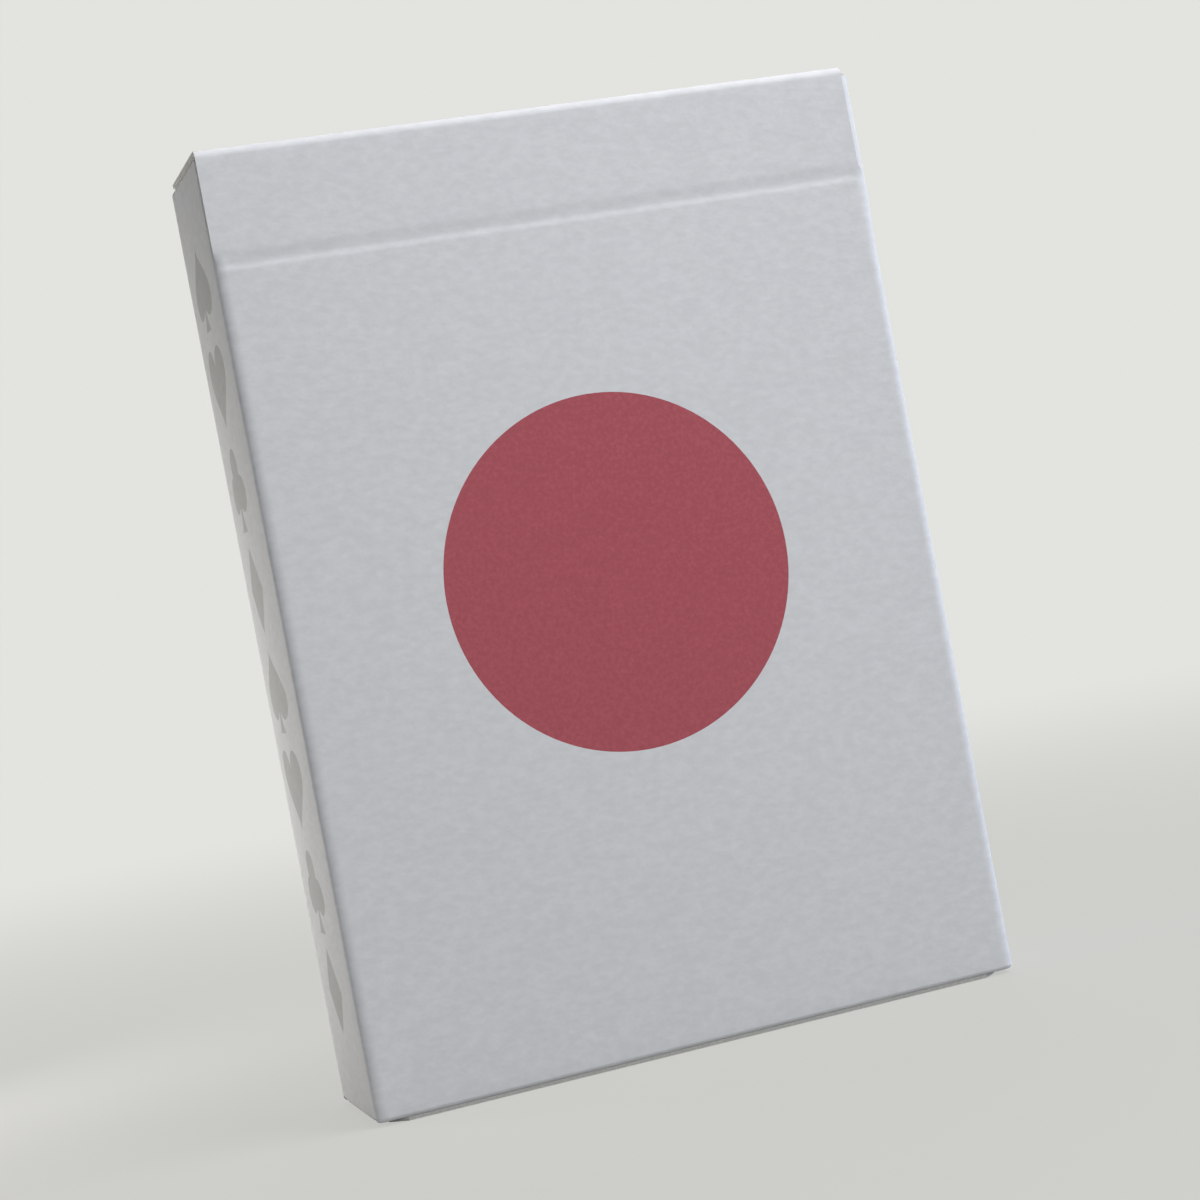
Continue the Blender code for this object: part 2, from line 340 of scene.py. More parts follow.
def cutSheet(outline, prints=(), columns=(), rows=(), clear=0.05):
    # A flat sheet within an outline of (u, v): a Delaunay net of the outline, the prints' outlines and the
    # grid points that stand clear of them. prints is a list of (loops, ink). Returns points, triangles, each
    # triangle's ink or -1, and which points the outline has.
    columns, rows = (np.unique(np.asarray(lines, float)) for lines in (columns, rows))
    outline = splitAtGrid(np.asarray(outline, float), columns, rows)
    loops = [outline] + [loop for shape, ink in prints for loop in shape]
    grid = np.stack(np.meshgrid(columns, rows), axis=-1).reshape(-1, 2)
    if len(grid):
        grid = grid[insideLoops(grid, [outline])]
        for loop in loops:
            gaps = np.linalg.norm(grid[:, None] - loop[None], axis=2).min(axis=1)
            grid = grid[gaps > clear]
    points = np.concatenate(loops + [grid])
    ends = np.cumsum([0] + [len(loop) for loop in loops])
    edges = [np.stack([np.arange(first, last), np.roll(np.arange(first, last), -1)], axis=1)
             for first, last in zip(ends, ends[1:])]
    net = delaunay_2d_cdt(points.tolist(), np.concatenate(edges).tolist(), [], 0, 1e-6)
    found, triangles, sources = np.array(net[0]), np.array(net[2]), net[3]
    middles = found[triangles].mean(axis=1)
    kept = insideLoops(middles, [outline])
    triangles, middles = triangles[kept], middles[kept]
    inks = np.full(len(triangles), -1)
    for shape, ink in prints:
        inks[insideLoops(middles, shape)] = ink
    place = np.zeros(len(points), int)
    counts = [len(ids) for ids in sources]
    place[np.concatenate(sources).astype(int)] = np.repeat(np.arange(len(sources)), counts)
    return found, triangles, inks, place[:len(outline)]


def addPiece(name, points, faces, slots, materials, sharpAngle=35):
    # a mesh object at the origin; faces is a list of arrays of corners, slots gives each face its material
    mesh = bpy.data.meshes.new(name)
    mesh.from_pydata((points * mm).tolist(), [], [corner for block in faces for corner in block.tolist()])
    for material in materials:
        mesh.materials.append(material)
    mesh.polygons.foreach_set("material_index", np.concatenate(slots).astype(np.int32))
    mesh.polygons.foreach_set("use_smooth", np.ones(len(mesh.polygons), bool))
    mesh.set_sharp_from_angle(angle=np.radians(sharpAngle))
    piece = bpy.data.objects.new(name, mesh)
    bpy.context.scene.collection.objects.link(piece)
    return piece


# the board that the box is cut and folded from
board = {
    "caliper": 0.35,
    "tubeFold": 1.1,       # outer radius of the four upright folds
    "shoulder": 0.65,      # the creased face's two folds take only this much of the sides
    "foldFacets": 9,
    "faceBulge": 0.2,      # how far the broad panels stand proud in their middle
    "sideBulge": 0.35,
    "bulgeSpan": (0.5, 89.0),   # the heights between which they do
}
glue = {
    "fold": 0.75, "flap": 11.0,
    "seamGap": 0.4,        # the glued panel's free edge stops short of the corner
    "lowTip": 7.0, "lowKnee": (0.6, 3.0), "lowRoot": 1.2,   # the flap's lower end is cut back
    "topTip": 6.0, "topRoot": 0.8,                          # and so is its upper one
}
crease = {
    "depth": 0.08,
    "above": 1.35,         # the pressed line is wider above its bottom than below
    "below": 0.7,
    "bead": 0.4,           # on the inner side it is lower by this share
    "fade": 1.4,           # it dies out this far from the box's edges
    "lap": 1.4,            # the lid strip starts this far below the crease
    "uncurl": 1.5,         # the lid strip's cut edges go flat over this height above the crease
    "bend": 0.5,           # the board bends this far below and above it
}
slit = {
    "inset": 0.35,         # the lid sits a little to the left, and its right edge is this much further in
    "right": 1.15,         # what the side panel takes of the corner fold beside it
    "step": 0.2,           # the lid strip's right edge steps in this far above the crease
    "rise": 0.7,           # over this height
    "gap": 0.05,           # and the side panel follows it a little higher
}
# an outer flap from the notched panel, an inner one from the creased face, and stubs from the sides
base = {
    "outerFold": 0.75, "outerHalf": 31.25, "outerShort": 0.3, "corner": 1.6,
    "innerFold": 0.45, "innerHalf": 31.2, "innerLength": 10.0, "innerLevel": 0.36, "innerTaper": 2.0,
    "stub": 0.4, "stubInset": 0.3,
    "cornerTurn": 0.9,     # the upright folds' lower ends turn in by this share of a quarter circle
}
flare = {"size": 0.22, "rise": 9.0}      # the right side, cut free of the lid, springs out towards the crease
rim = {"above": 0.5, "slope": 1.5}       # the notched panel's edge under the lid slopes down at its end
notch = {"radius": 9.6, "rise": 0.1, "facets": 40}   # rise: its circle's middle is this far above the rim
disc = {"radius": 17.2, "height": 46.22, "facets": 128}
spine = {"suits": ("spades", "hearts", "clubs", "diamonds") * 2, "pip": 8.2, "pitch": 9.7, "height": 46.0}
lid = {
    "fold": 0.9, "facets": 12, "stripLap": 1.0, "frontLap": 1.0,
    "tuckStep": 0.3, "tuckTipHalf": 30.35, "tuckCorner": 4.5, "cornerFacets": 12,
    "bendBefore": 1.1, "bendAfter": 1.3,   # the board bends from before each fold to after it
}
dust = {
    "fold": 0.42, "facets": 10,
    "seam": 1.2,           # the flaps start this far below the tube's top
    "rearGap": 0.05,       # their folds end just short of the rear corner folds
    "cornerDrop": 0.8,     # which end lower, by this share of the fold's radius
    "step": 0.2, "taper": 0.35, "corner": 2.2, "cornerFacets": 10,
    "settle": 6.0,         # the right flap's spring dies out over this length
    "bendBefore": 1.1, "bendAfter": 0.9,
}

foldLength = quarter * board["tubeFold"]
flatHalf = halfWidth - board["tubeFold"]              # half of a broad panel between its folds
sideHalf = halfDepth - board["tubeFold"]              # half of a side panel between its folds
notchEnd = halfWidth - board["caliper"] - glue["fold"]   # the notched panel's end at the glue fold
shoulderY = creasedY + board["shoulder"]
squeeze = board["shoulder"] / board["tubeFold"]
lidRight = lidHalf - slit["inset"]
stripReach = lidHalf - flatHalf                       # what the lid strip takes of a corner fold
slitReach = foldLength - stripReach                   # what the side panel takes of it
lapZ = creaseZ - crease["lap"]
stripTop = lidZ - lid["fold"] - lid["stripLap"]
rimTop = tubeTop + rim["above"]
dustSeam = tubeTop - dust["seam"]
dustRear = sideHalf - dust["rearGap"]
dustTurn = dustHigh[2] - dust["cornerDrop"] * dust["fold"]


def foldBoard(name, surface, sheet):
    # a sheet of board: its outer side at depth 0 of a surface of (u, v, depth), its inner a caliper deeper
    flat, triangles, inks, ring = sheet
    count = len(flat)
    outer = surface(flat[:, 0], flat[:, 1], np.zeros(count))
    inner = surface(flat[:, 0], flat[:, 1], np.full(count, board["caliper"]))
    after = np.roll(ring, -1)
    edge = np.stack([ring, ring + count, after + count, after], axis=1)
    faces = [triangles, triangles[:, ::-1] + count, edge]
    slots = [np.where(inks < 0, outerSlot, inks), np.full(len(triangles), innerSlot),
             np.full(len(edge), cutSlot)]
    return addPiece(name, np.concatenate([outer, inner]), faces, slots, boardMaterials)


def bulgeAt(across, z, size):
    # a panel stands proud by a parabola across it times a parabola up it, with nothing left at its edges
    low, high = board["bulgeSpan"]
    middle, half = (low + high) / 2, (high - low) / 2
    return size * np.clip(1 - across ** 2, 0, None) * np.clip(1 - ((z - middle) / half) ** 2, 0, None)


def flareAt(z):
    # how far the right side springs outwards at a height
    return flare["size"] * smooth((z - creaseZ) / flare["rise"] + 1)


def curledAt(z):
    # the lid strip's side edges are curled as the corner folds are up to the crease, and flat above it
    return 1 - smooth((z - creaseZ) / crease["uncurl"])


def curlFrom(s, curl):
    # a line that leaves a panel at s = 0 with even curvature: how far it goes on and turns in, and its angle
    angle = s * curl
    return s * np.sinc(angle / np.pi), s * angle / 2 * np.sinc(angle / 2 / np.pi) ** 2, angle


# the tube seen from above runs anticlockwise: glue flap, notched panel, left side, creased face, right side
tubeStart = (halfWidth - board["caliper"], halfDepth - glue["fold"] - glue["flap"])
tube, tubeRuns = bentLine(tubeStart, quarter, 1, [
    (glue["flap"], 0), (quarter * glue["fold"], glue["fold"]),
    (notchEnd + flatHalf, 0), (foldLength, board["tubeFold"]),
    (2 * sideHalf, 0), (foldLength, board["tubeFold"]),
    (2 * flatHalf, 0), (foldLength, board["tubeFold"]),
    (halfDepth - glue["seamGap"] + sideHalf, 0)])
glueAt, glueArc, notchAt, backArc, leftAt, leftArc, faceAt, rightArc, rightAt, tubeEnd = tubeRuns
glueRun, glueFoldRun, notchRun, backFoldRun, leftRun, leftFoldRun, faceRun, rightFoldRun, rightRun = range(9)


def drawCorners(point, normal):
    # The creased face's two folds, arcs in the tube's line, are drawn to ellipses: the sides run on towards
    # the face, so that the folds are tight at the sides and soft towards the face. Normals turn with them.
    y = point[:, 1]
    drawn = np.interp(y, (creasedY, -sideHalf, 0, halfDepth), (creasedY, shoulderY, 0, halfDepth))
    turned = normal / np.column_stack([np.ones(len(y)), np.where(y < -sideHalf, squeeze, 1)])
    return np.column_stack([point[:, 0], drawn]), turned / np.linalg.norm(turned, axis=1)[:, None]


# distances along the tube's line, from places on its panels
def beforeDrawing(y):
    # the place on the tube's line that drawCorners takes to y
    return np.interp(y, (shoulderY, 0, halfDepth), (-sideHalf, 0, halfDepth))


def backU(x):
    return notchAt + notchEnd - x


def faceU(x):
    return faceAt + flatHalf + x


def leftU(y):
    return leftAt + sideHalf - beforeDrawing(y)


def rightU(y):
    return rightAt + sideHalf + beforeDrawing(y)


def caseSurface(u, v, depth):
    # The tube's line carried up z. Below the base folds a panel turns in under the box along a quarter circle
    # and then runs level. Towards the crease and above it the right side springs out. outer is the share that
    # the outer base flap's fold has, which runs out over the rear left fold.
    point, normal = tube(u)
    run = np.clip(np.searchsorted(tubeRuns, u, "right") - 1, glueRun, rightRun)
    broad, narrow = np.isin(run, (notchRun, faceRun)), np.isin(run, (glueRun, leftRun, rightRun))
    proud = np.where(broad, bulgeAt(point[:, 0] / flatHalf, v, board["faceBulge"]), 0)
    proud = np.where(narrow, bulgeAt(point[:, 1] / sideHalf, v, board["sideBulge"]), proud)
    point, normal = drawCorners(point, normal)
    outer = np.where(run == backFoldRun, (leftAt - u) / foldLength, run == notchRun)
    level = base["innerLevel"] * (1 - outer)
    radius = base["innerFold"] + (base["outerFold"] - base["innerFold"]) * outer
    gone = np.where(run > glueFoldRun, np.clip(level + radius - v, 0, None), 0)
    angle = np.minimum(gone / radius, quarter)
    inward = radius - (radius - depth) * np.cos(angle) + gone - angle * radius - proud
    z = np.where(gone > 0, level + radius - (radius - depth) * np.sin(angle), v)
    place = point - normal * inward[:, None]
    place[:, 0] += np.clip((u - rightArc) / stripReach, 0, 1) * flareAt(v)
    return np.column_stack([place, z])


def lowerEdge():
    # the tube's blank along its lower edge: glue flap, outer base flap, stub, inner base flap, stub
    half, corner, turn = base["outerHalf"], base["corner"], base["outerFold"] / 2
    outerTip = base["outerFold"] * (2 - quarter) + base["outerShort"] - 2 * halfDepth
    innerRoot = base["innerLevel"] + base["innerFold"]
    low = innerRoot - base["cornerTurn"] * quarter * base["innerFold"]
    level = innerRoot - quarter * base["innerFold"]
    kneeIn, kneeZ = glue["lowKnee"]
    edge = [(glueAt, glue["lowTip"]), (glueArc - kneeIn, kneeZ), (glueArc, glue["lowRoot"]),
            (notchAt, base["outerFold"])]
    edge += [(backU(half), turn), (backU(half), outerTip + corner), (backU(half - corner), outerTip),
             (backU(corner - half), outerTip), (backU(-half), outerTip + corner), (backU(-half), turn),
             (backArc, turn)]
    stubTip, inset = level - base["stub"], base["stubInset"]
    edge += [(leftAt, low), (leftAt + inset, low), (leftAt + inset, stubTip),
             (leftArc - inset, stubTip), (leftArc - inset, low), (leftArc, low)]
    inner, innerTip = base["innerHalf"], level - base["innerLength"]
    tipHalf = inner - base["innerTaper"]
    edge += [(faceAt, low), (faceU(-inner), low), (faceU(-tipHalf), innerTip),
             (faceU(tipHalf), innerTip), (faceU(inner), low), (rightArc, low)]
    rightStub = rightU(sideHalf) - inset
    return edge + [(rightAt, low), (rightAt + inset, low), (rightAt + inset, stubTip),
                   (rightStub, stubTip), (rightStub, low), (tubeEnd, low)]


def upperEdge():
    # and back along its upper edge: right side, slits beside the lid strip, left side, thumb notch, glue flap
    front, rear = dustLow[1], dustRear
    slitLow = creaseZ + slit["step"] + slit["gap"]
    edge = [(tubeEnd, dustTurn), (rightU(rear), dustTurn), (rightU(rear), dustSeam),
            (rightU(front), dustSeam), (rightU(front), tubeTop), (rightAt - slit["right"], tubeTop),
            (rightAt - slit["right"], slitLow + slit["rise"]), (rightAt - slitReach, slitLow),
            (rightAt - slitReach, lapZ), (leftArc + slitReach, lapZ), (leftArc + slitReach, tubeTop),
            (leftU(front), tubeTop), (leftU(front), dustSeam), (leftU(rear), dustSeam),
            (leftU(rear), dustTurn), (backArc, dustTurn), (backArc - rim["slope"], rimTop)]
    reach = np.arcsin(notch["rise"] / notch["radius"])
    arc = notch["radius"] * onCircle(np.linspace(np.pi + reach, 2 * np.pi - reach, notch["facets"]))
    thumb = np.stack([backU(arc[:, 0]), rimTop + notch["rise"] + arc[:, 1]], axis=1)
    glueTop = [(notchAt, rimTop), (glueArc, tubeTop - glue["topRoot"]), (glueAt, tubeTop - glue["topTip"])]
    return np.concatenate([edge, thumb, glueTop])


def spinePips(middle):
    # pips of the four suits, twice over, down a side panel
    count = len(spine["suits"])
    places = spine["height"] + spine["pitch"] * ((count - 1) / 2 - np.arange(count))
    return [([loop], pipSlot) for suit, z in zip(spine["suits"], places)
            for loop in pipLoops(suit, spine["pip"], (middle, z))]


# mm between the lines of the case's grid, where its rows start and end, and how far it keeps from outlines
caseNet = {
    "broad": 4.0, "side": 1.9, "near": 0.2, "nearReach": 1.2, "clear": 0.06,
    "up": 4.0, "upFrom": 2.0, "upShort": 1.0, "crease": 0.25, "top": 2.0, "topFrom": 4.0,
}


def makeCase():
    ring = (faceU(0), disc["height"]) + disc["radius"] * onCircle(fullTurn(disc["facets"]))
    prints = [([ring], discSlot)] + spinePips((leftAt + leftArc) / 2) + spinePips(rightAt + sideHalf)
    facets = board["foldFacets"]
    folds = ((glueArc, notchAt), (backArc, leftAt), (leftArc, faceAt), (rightArc, rightAt))
    broads = ((glueAt, glueArc), (notchAt, backArc), (faceAt, rightArc))
    sides = ((leftAt, leftArc), (rightAt, tubeEnd))
    near = spaced(0, caseNet["nearReach"], caseNet["near"])
    columns = [np.linspace(*fold, facets + 1) for fold in folds]
    columns += [spaced(*broad, caseNet["broad"]) for broad in broads]
    columns += [spaced(*side, caseNet["side"]) for side in sides]
    columns += [[leftArc + slitReach, rightAt - slitReach], faceAt + near, rightArc - near]
    turn = 1 - np.linspace(0, quarter, facets)
    rows = [base["outerFold"] * turn, base["innerLevel"] + base["innerFold"] * turn,
            spaced(caseNet["upFrom"], lapZ - caseNet["upShort"], caseNet["up"]), [lapZ],
            spaced(creaseZ, creaseZ + crease["uncurl"], caseNet["crease"]),
            spaced(creaseZ + caseNet["topFrom"], dustSeam, caseNet["top"]), [tubeTop, rimTop]]
    outline = np.concatenate([lowerEdge(), upperEdge()])
    sheet = cutSheet(outline, prints, np.concatenate(columns), np.concatenate(rows), caseNet["clear"])
    case = foldBoard("tuck_case_board", caseSurface, sheet)
    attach(case, "case")
    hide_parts("tuck_case")
    print("case:", len(case.data.polygons), "faces")


def joinFlap(flap, node):
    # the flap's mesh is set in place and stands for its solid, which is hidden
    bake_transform(flap)
    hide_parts(node)
    print(node + ":", len(flap.data.polygons), "faces")


def stripSurface(u, z, depth):
    # The creased face above the crease: flat across to the corner folds, which it follows by a shorter
    # stretch. The crease is a shallow V pressed in along x, with a lower bead on the inner side.
    s = np.clip(np.abs(u) - flatHalf, 0, None)
    on, turn, angle = curlFrom(s, curledAt(z) / board["tubeFold"])
    x = np.sign(u) * (np.minimum(np.abs(u), flatHalf) + on)
    sprung = np.clip((u - flatHalf) / stripReach, 0, 1) * flareAt(z) * curledAt(z)
    width = np.where(z > creaseZ, crease["above"], crease["below"])
    ends = smooth((lidHalf - np.abs(u)) / crease["fade"])
    pressed = crease["depth"] * (1 - smooth(np.abs(z - creaseZ) / width)) * ends
    proud = bulgeAt(np.minimum(np.abs(u) / flatHalf, 1), z, board["faceBulge"])
    inward = depth - proud + pressed * (1 - crease["bead"] * depth / board["caliper"])
    normal = np.stack([np.sin(angle), np.cos(angle) / squeeze])
    normal = normal / np.hypot(*normal)
    y = creasedY + turn * squeeze + inward * normal[1]
    return np.column_stack([x - np.sign(u) * inward * normal[0] + sprung, y, z])


# mm between the lines of the lid strip's grid and of the flaps' grids
stripNet = {
    "flat": 2.0, "near": 0.2, "nearReach": 1.6, "curl": 0.13, "below": 0.14, "crease": 0.16, "above": 1.0,
}
flapNet = {"lidAcross": 4.0, "dustAcross": 2.5, "along": 2.0}


def makeLidStrip():
    stepZ = creaseZ + slit["step"]
    outline = [(-lidHalf, lapZ), (lidHalf, lapZ), (lidHalf, stepZ), (lidRight, stepZ + slit["rise"]),
               (lidRight, stripTop), (-lidHalf, stripTop)]
    curl = flatHalf + spaced(0, stripReach, stripNet["curl"])
    near = spaced(flatHalf - stripNet["nearReach"], flatHalf, stripNet["near"])
    columns = np.concatenate([spaced(-flatHalf, flatHalf, stripNet["flat"]), curl, -curl, near, -near])
    uncurled = creaseZ + crease["uncurl"]
    rows = np.concatenate([spaced(lapZ, creaseZ, stripNet["below"]),
                           spaced(creaseZ, uncurled, stripNet["crease"]),
                           spaced(uncurled, stripTop, stripNet["above"])])
    strip = foldBoard("lid_strip_board", stripSurface, cutSheet(outline, (), columns, rows))
    joinFlap(strip, "lid_crease_panel")


def foldRows(starts, facets):
    # rows of a flap's grid: its first edge, close rows over its fold, and wider ones beyond
    fold = np.linspace(starts[1], starts[2], facets + 1)
    return np.concatenate([[0], fold, spaced(starts[2], starts[3], flapNet["along"])])


def lidRun(start, heading, runs):
    # a surface that carries a bent line in the y-z plane along x
    line, starts = bentLine(start, heading, -1, runs)

    def surface(u, v, depth):
        point, normal = line(v)
        return np.column_stack([u, point - normal * depth[:, None]])

    return surface, starts


def makeLidTop():
    radius = lid["fold"]
    level = tuckY - creasedY - 2 * radius - lid["frontLap"]
    runs = [(lid["stripLap"], 0), (quarter * radius, radius), (level, 0)]
    surface, starts = lidRun((creasedY, stripTop), quarter, runs)
    outline = [(-lidHalf, 0), (lidRight, 0), (lidRight, starts[3]), (-lidHalf, starts[3])]
    columns = spaced(-lidHalf, lidHalf, flapNet["lidAcross"])
    sheet = cutSheet(outline, (), columns, foldRows(starts, lid["facets"]))
    joinFlap(foldBoard("lid_top_board", surface, sheet), "lid_top_panel")


def makeTuckFlap():
    radius = lid["fold"]
    runs = [(lid["frontLap"], 0), (quarter * radius, radius), (lidZ - radius - tuckLow[2], 0)]
    surface, starts = lidRun((tuckY - radius - lid["frontLap"], lidZ), 0.0, runs)
    tipHalf, step = lid["tuckTipHalf"], starts[1] + lid["tuckStep"]
    tip, root = (tipHalf, starts[3]), (tuckHigh[0], starts[2])
    arc = roundedCorner(tip, root, (-tipHalf, starts[3]), lid["tuckCorner"], lid["cornerFacets"])
    half = np.concatenate([[root], arc])
    outline = np.concatenate([[(lidRight, 0), (lidRight, step)], half, half[::-1] * (-1, 1),
                              [(-lidHalf, step), (-lidHalf, 0)]])
    columns = spaced(-lidHalf, lidHalf, flapNet["lidAcross"])
    sheet = cutSheet(outline, (), columns, foldRows(starts, lid["facets"]))
    joinFlap(foldBoard("tuck_flap_board", surface, sheet), "tuck_flap")


def makeDustFlap(side, body):
    # up the side panel, over a small fold and level across the cards; the left one is the right one mirrored
    radius, top = dust["fold"], dustHigh[2]
    line, starts = bentLine((halfWidth, dustSeam), quarter, 1, [
        (top - radius - dustSeam, 0), (quarter * radius, radius), (halfWidth - radius - dustLow[0], 0)])

    def surface(u, v, depth):
        point, normal = line(v)
        place = point - normal * depth[:, None]
        sprung = (side > 0) * flareAt(dustSeam) * (1 - smooth((v - starts[2]) / dust["settle"]))
        return np.column_stack([side * (place[:, 0] + sprung), side * u, place[:, 1]])

    low, high = sorted((side * dustLow[1], side * dustHigh[1]))
    rootLow, rootHigh = sorted((side * dustLow[1], side * dustRear))
    step, fold, tip = starts[2] - dust["step"], starts[2], starts[3]
    tipLow, tipHigh = (low + dust["taper"], tip), (high - dust["taper"], tip)
    corner, facets = dust["corner"], dust["cornerFacets"]
    outline = np.concatenate([[(rootLow, 0), (rootHigh, 0), (rootHigh, step), (high, fold)],
                              roundedCorner(tipHigh, (high, fold), tipLow, corner, facets),
                              roundedCorner(tipLow, tipHigh, (low, fold), corner, facets),
                              [(low, fold), (rootLow, step)]])
    columns = spaced(low, high, flapNet["dustAcross"])
    sheet = cutSheet(outline, (), columns, foldRows(starts, dust["facets"]))
    joinFlap(foldBoard(body + "_board", surface, sheet), body)


makeCase()
makeLidStrip()
makeLidTop()
makeTuckFlap()
makeDustFlap(-1, "dust_flap_left")
makeDustFlap(1, "dust_flap_right")


# the cards
card = {
    "stock": "#DDDDD9", "red": "#B3262E", "black": "#1B1B1D", "edge": "#BFBFBA",
    "dimple": 0.45, "emboss": 0.012,
    "corner": 3.2, "cornerFacets": 8, "bevel": 0.05,
    "indexX": 27.2, "indexZ": 38.6, "indexSize": 8.0, "smallPip": 5.0, "smallZ": 31.6,
    "pip": 10.5, "column": 13.5, "row": 27.0, "acePip": 24.0,
    "courtFrame": (42.0, 66.0), "frameLine": 0.5, "courtPip": (-14.6, 26.6), "middlePip": 13.65,
    "crown": 20.0, "crownZ": 12.0, "crownPoints": {"jack": 3, "queen": 4, "king": 5},
    "jokerIndex": 7.0, "jokerStar": 30.0, "jokerRing": (19.0, 18.0),
    "border": 4.0, "lozengeAcross": 6.0, "lozengeUp": 8.6, "lozengeShare": 0.36, "lozengesOut": 4,
}
suits = ("spades", "diamonds", "clubs", "hearts")
ranks = ("ace", "two", "three", "four", "five", "six", "seven", "eight", "nine", "ten",
         "jack", "queen", "king")
signs = dict(zip(ranks, ("A", "2", "3", "4", "5", "6", "7", "8", "9", "10", "J", "Q", "K")))
stockSlot, redSlot, blackSlot, edgeSlot = range(4)


def makeCardFinish(name, colour, roughness):
    # coated card stock, rolled between embossed cylinders: a satin surface of small round air pockets, which
    # each ink and the cut edge take too
    sockets = {"Base Color": hexColour(colour), "Roughness": roughness}
    material, tree, shader = startMaterial(name, sockets)
    place = addNode(tree, "ShaderNodeTexCoord")
    dimples = addNode(tree, "ShaderNodeTexVoronoi", {"Vector": place.outputs["Object"], "Randomness": 0.15,
                                                     "Scale": 1 / (card["dimple"] * mm)}, feature="SMOOTH_F1")
    addRelief(tree, shader, card["emboss"], dimples.outputs["Distance"])
    return material


cardMaterials = [makeCardFinish("embossed_card_stock", card["stock"], roughness=0.5),
                 makeCardFinish("red_ink_on_card_stock", card["red"], roughness=0.42),
                 makeCardFinish("black_ink_on_card_stock", card["black"], roughness=0.42),
                 makeCardFinish("cut_card_edge", card["edge"], roughness=0.8)]


def glyphLoops(text, size):
    # outlines of the built-in typeface, centred; a closing edge ends each loop
    curve = bpy.data.curves.new("index", "FONT")
    curve.body = text
    curve.size = size
    curve.fill_mode = "NONE"
    curve.resolution_u = 3
    curve.align_x = "CENTER"
    letter = bpy.data.objects.new("index", curve)
    mesh = bpy.data.meshes.new_from_object(letter)
    points = np.empty(len(mesh.vertices) * 3, np.float32)
    edges = np.empty(len(mesh.edges) * 2, np.int32)
    mesh.vertices.foreach_get("co", points)
    mesh.edges.foreach_get("vertices", edges)
    bpy.data.meshes.remove(mesh)
    bpy.data.objects.remove(letter)
    bpy.data.curves.remove(curve)
    points = points.reshape(-1, 3)[:, :2].astype(float)
    edges = edges.reshape(-1, 2)
    closing = np.sort(edges[np.abs(edges[:, 0] - edges[:, 1]) > 1].max(axis=1))
    points -= (points.min(axis=0) + points.max(axis=0)) / 2
    return np.split(points, closing[:-1] + 1)


def moved(loops, place):
    return [loop + np.array(place) for loop in loops]


def bothWays(loops):
    # the same figure again, upside down at the other end of the card
    return loops + [-loop for loop in loops]


def starLoops(size, points=5, waist=0.42):
    # points on a circle, with every second one drawn in
    place = np.arange(2 * points)
    reach = size / 2 * np.where(place % 2 == 0, 1, waist)
    return [reach[:, None] * onCircle(quarter + place * np.pi / points)]


def crownLoops(width, points):
    # a band, and above it a zigzag of points, each with a ball on its tip, in shares of the width
    tips = np.linspace(-0.5, 0.5, points)
    x = np.concatenate([np.stack([tips[:-1], (tips[:-1] + tips[1:]) / 2], axis=1).ravel(), tips[-1:]])
    y = np.where(np.arange(len(x)) % 2 == 0, 0.42, 0.2)
    zigzag = np.concatenate([[(-0.42, 0.06), (0.42, 0.06)], np.stack([x, y], axis=1)[::-1]])
    band = np.array([(-0.42, -0.08), (0.42, -0.08), (0.42, 0.02), (-0.42, 0.02)])
    ball = 0.05 * onCircle(fullTurn(facets=12))
    return [loop * width for loop in [band, zigzag] + [ball + (tip, 0.5) for tip in tips]]


def pipPlaces(rank):
    # where the pips of a number card stand, in columns and rows
    count = ranks.index(rank) + 1
    column, row = card["column"], card["row"]
    sides = {4: (-1, 1), 5: (-1, 1), 6: (-1, 0, 1), 7: (-1, 0, 1), 8: (-1, 0, 1),
             9: (-1, -1 / 3, 1 / 3, 1), 10: (-1, -1 / 3, 1 / 3, 1)}.get(count, ())
    middles = {2: (-1, 1), 3: (-1, 0, 1), 5: (0,), 7: (0.5,), 8: (-0.5, 0.5), 9: (0,),
               10: (-2 / 3, 2 / 3)}.get(count, ())
    return [(x, y * row) for x in (-column, column) for y in sides] + [(0, y * row) for y in middles]


def facePrints(rank, suit):
    # indices in two corners, and number pips, one great pip, or a framed crown for a court card
    ink = redSlot if suit in ("hearts", "diamonds") else blackSlot
    sign = moved(glyphLoops(signs[rank], card["indexSize"]), (-card["indexX"], card["indexZ"]))
    small = pipLoops(suit, card["smallPip"], (-card["indexX"], card["smallZ"]), facets=6)
    shapes = [bothWays(sign)] + [[loop] for loop in bothWays(small)]
    if rank == "ace":
        shapes += [[loop] for loop in pipLoops(suit, card["acePip"])]
    elif rank in card["crownPoints"]:
        width, height = card["courtFrame"]
        line = card["frameLine"]
        shapes.append([rectangle(width, height), rectangle(width - 2 * line, height - 2 * line)])
        crown = moved(crownLoops(card["crown"], card["crownPoints"][rank]), (0, card["crownZ"]))
        shapes += [[loop] for loop in bothWays(crown)]
        shapes += [[loop] for loop in bothWays(pipLoops(suit, card["pip"], card["courtPip"]))]
        shapes += [[loop] for loop in pipLoops(suit, card["middlePip"])]
    else:
        shapes += [[loop] for x, z in pipPlaces(rank)
                   for loop in pipLoops(suit, card["pip"], (x, z), turned=z < 0, facets=9)]
    return [(shape, ink) for shape in shapes]


def jokerPrints(ink):
    # small stars in two corners, and a star in a ring
    small = moved(starLoops(card["jokerIndex"]), (-card["indexX"], card["indexZ"]))
    ring = [radius * onCircle(fullTurn(facets=72)) for radius in card["jokerRing"]]
    shapes = [[loop] for loop in bothWays(small)] + [ring, starLoops(card["jokerStar"])]
    return [(shape, ink) for shape in shapes]


